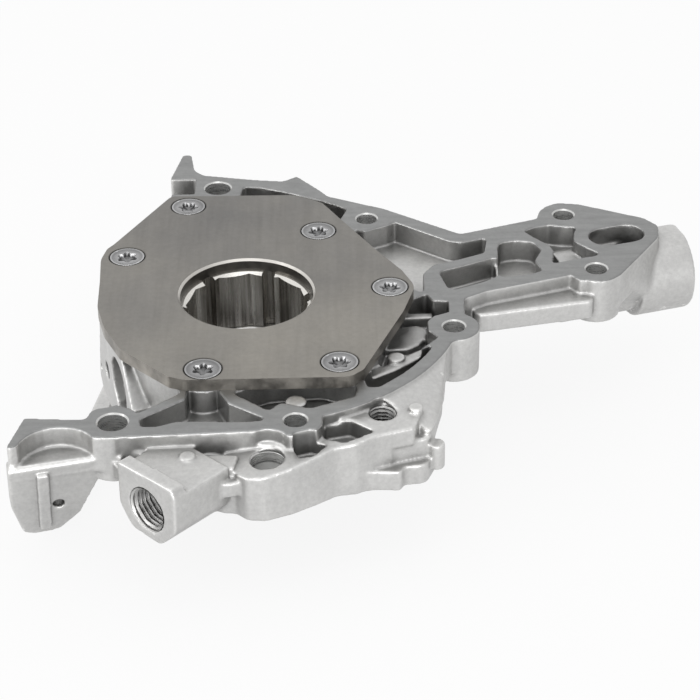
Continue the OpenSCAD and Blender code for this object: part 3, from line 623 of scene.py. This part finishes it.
def backdrop():
    """A pale floor that reads white to the camera and in the metal, and keeps the object's shadow in its lit
    share, with a painted contact shadow in its white glow near the object.
    """
    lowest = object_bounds()[0].z
    bpy.ops.mesh.primitive_plane_add(size=6.0, location=(0.04, 0.0, lowest - 0.2 * MM))
    floor = bpy.context.object
    floor.name = "floor"
    s = Shader("floor", (0.9, 0.9, 0.9), 0.9, 0.0)
    s.finish(s.mix(s.noise(3, 2), (0.89, 0.89, 0.89), (0.91, 0.91, 0.91)))
    white = s.node("ShaderNodeEmission")
    near = s.node("ShaderNodeAmbientOcclusion", samples=6)
    near.inputs["Distance"].default_value = 90 * MM
    ray = s.node("ShaderNodeLightPath").outputs["Is Camera Ray"]
    least = s.spread(ray, 0, 1, 0.5, 0.95)
    # Painted contact shadow: the floor's white glow dims where the object is near
    glow_with_painted_shadow = s.math("MULTIPLY", s.math("SUBTRACT", 1.0, least), s.spread(near.outputs["AO"], 0.2, 0.95))
    across = s.node("ShaderNodeSeparateXYZ")
    s.link(s.place, across.inputs["Vector"])
    side = s.math("MAXIMUM", ray, s.spread(across.outputs["X"], 70 * MM, 220 * MM, 1.0, SHADED_SIDE))
    s.link(s.math("MULTIPLY", s.math("ADD", least, glow_with_painted_shadow), side), white.inputs["Strength"])
    seen = seen_share(s.tree, *FLOOR_SEEN)
    both = s.node("ShaderNodeMixShader")
    s.link(seen, both.inputs["Fac"])
    s.link(s.main.outputs["BSDF"], both.inputs[1])
    s.link(white.outputs["Emission"], both.inputs[2])
    s.link(both.outputs["Shader"], s.tree.nodes["Material Output"].inputs["Surface"])
    floor.data.materials.append(s.material)


def world():
    """Soft light all round, seen as plain white by the camera and a little darker on the right in the metal."""
    made = bpy.data.worlds.new("studio")
    made.use_nodes = True
    bpy.context.scene.world = made
    nodes, links = made.node_tree.nodes, made.node_tree.links
    light = nodes["Background"]
    light.inputs["Color"].default_value = (0.9, 0.9, 0.9, 1)
    light.inputs["Strength"].default_value = 0.6
    white = nodes.new("ShaderNodeBackground")
    white.inputs["Color"].default_value = (1, 1, 1, 1)
    across = nodes.new("ShaderNodeSeparateXYZ")
    links.new(nodes.new("ShaderNodeTexCoord").outputs["Generated"], across.inputs["Vector"])
    side = nodes.new("ShaderNodeMapRange")
    for name, value in (("From Min", 0.0), ("From Max", 0.9), ("To Min", 1.0), ("To Max", SHADED_SIDE)):
        side.inputs[name].default_value = value
    links.new(across.outputs["X"], side.inputs["Value"])
    most = nodes.new("ShaderNodeMath")
    most.operation = "MAXIMUM"
    links.new(nodes.new("ShaderNodeLightPath").outputs["Is Camera Ray"], most.inputs[0])
    links.new(side.outputs["Result"], most.inputs[1])
    links.new(most.outputs["Value"], white.inputs["Strength"])
    pick = nodes.new("ShaderNodeMixShader")
    links.new(seen_share(made.node_tree, *WORLD_SEEN), pick.inputs["Fac"])
    links.new(light.outputs["Background"], pick.inputs[1])
    links.new(white.outputs["Background"], pick.inputs[2])
    links.new(pick.outputs["Shader"], nodes["World Output"].inputs["Surface"])


def lamp(name, at, aim, width, height, power):
    """A soft rectangular lamp that points at its aim."""
    data = bpy.data.lights.new(name, "AREA")
    data.shape = "RECTANGLE"
    data.size = width
    data.size_y = height
    data.energy = power
    made = bpy.data.objects.new(name, data)
    bpy.context.scene.collection.objects.link(made)
    made.location = at
    made.rotation_mode = "QUATERNION"
    made.rotation_quaternion = (Vector(aim) - Vector(at)).to_track_quat("-Z", "Y")


def camera():
    """The camera of the photograph."""
    data = bpy.data.cameras.new("camera")
    data.lens = LENS_MM
    data.sensor_width = SENSOR_MM
    data.clip_start = 0.05
    data.clip_end = 20.0
    made = bpy.data.objects.new("camera", data)
    bpy.context.scene.collection.objects.link(made)
    right, down, forward = Vector(CAMERA_RIGHT), Vector(CAMERA_DOWN), Vector(CAMERA_FORWARD)
    turned = Matrix((right, -down, -forward)).transposed().to_4x4()
    made.matrix_world = Matrix.Translation(CAMERA_AT) @ turned
    bpy.context.scene.camera = made


threads()
linings()
hole_edge()
cover_screws()
gallery_plug()
coil_spring()
backdrop()
world()
for values in LAMPS:
    lamp(*values)
camera()
bpy.context.scene.view_settings.view_transform = "Standard"
